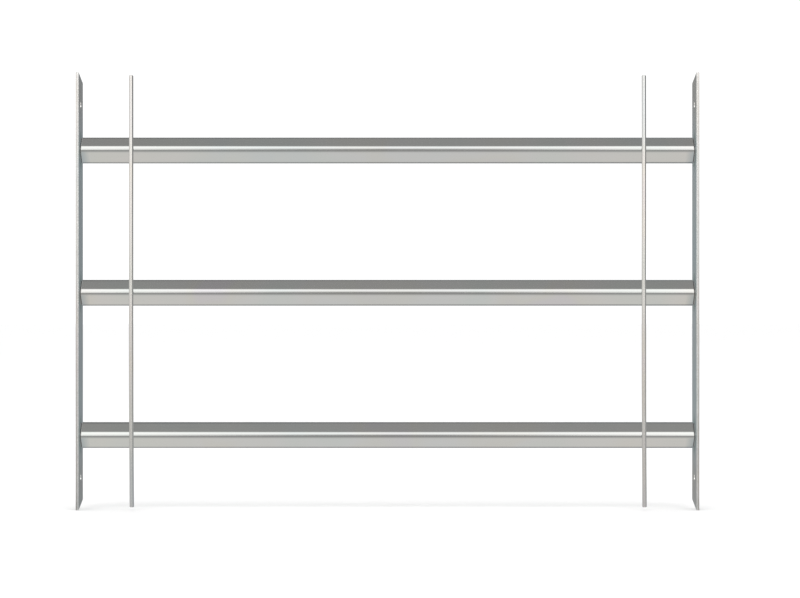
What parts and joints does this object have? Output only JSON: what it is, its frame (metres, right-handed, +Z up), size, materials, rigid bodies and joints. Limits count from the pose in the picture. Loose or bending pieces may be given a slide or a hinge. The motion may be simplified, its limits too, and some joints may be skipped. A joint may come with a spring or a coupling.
{
  "type": "extending window security bar",
  "caption": "Extending window grille of square steel rails on their corner between side plates, tied by round rods; the ends pull out to fit the window.",
  "frame": {"origin": "middle of the left plate's two screw holes, on the plate's outer face, which lies on the wall", "axes": "+X across the window from the left plate to the right plate, -Y to the front, +Z up"},
  "size_m": [0.64, 0.033, 0.4494],
  "materials": {
    "plate_zinc": "bright zinc plating on flat bar, sheared edges",
    "rail_zinc": "bright zinc plating on drawn square tube",
    "inner_zinc": "zinc plating with rubbing marks along the slide",
    "rod_zinc": "bright zinc plating on drawn wire",
    "weld": "zinc-plated weld metal, rippled"
  },
  "bodies": {
    "left_end": {"left_side_plate": "plate_zinc", "upper_left_inner_rail": "inner_zinc", "middle_left_inner_rail": "inner_zinc", "lower_left_inner_rail": "inner_zinc", "upper_left_plate_weld": "weld", "middle_left_plate_weld": "weld", "lower_left_plate_weld": "weld"},
    "centre_section": {"upper_outer_rail": "rail_zinc", "middle_outer_rail": "rail_zinc", "lower_outer_rail": "rail_zinc", "left_tie_rod": "rod_zinc", "right_tie_rod": "rod_zinc", "upper_left_rod_weld": "weld", "middle_left_rod_weld": "weld", "lower_left_rod_weld": "weld", "upper_right_rod_weld": "weld", "middle_right_rod_weld": "weld", "lower_right_rod_weld": "weld"},
    "right_end": {"right_side_plate": "plate_zinc", "upper_right_inner_rail": "inner_zinc", "middle_right_inner_rail": "inner_zinc", "lower_right_inner_rail": "inner_zinc", "upper_right_plate_weld": "weld", "middle_right_plate_weld": "weld", "lower_right_plate_weld": "weld"}
  },
  "joints": [
    {"name": "left_extension", "type": "slide", "parent": "left_end", "child": "centre_section", "axis": [1, 0, 0], "range_m": [0, 0.16]},
    {"name": "right_extension", "type": "slide", "parent": "centre_section", "child": "right_end", "axis": [1, 0, 0], "range_m": [0, 0.16]}
  ]
}
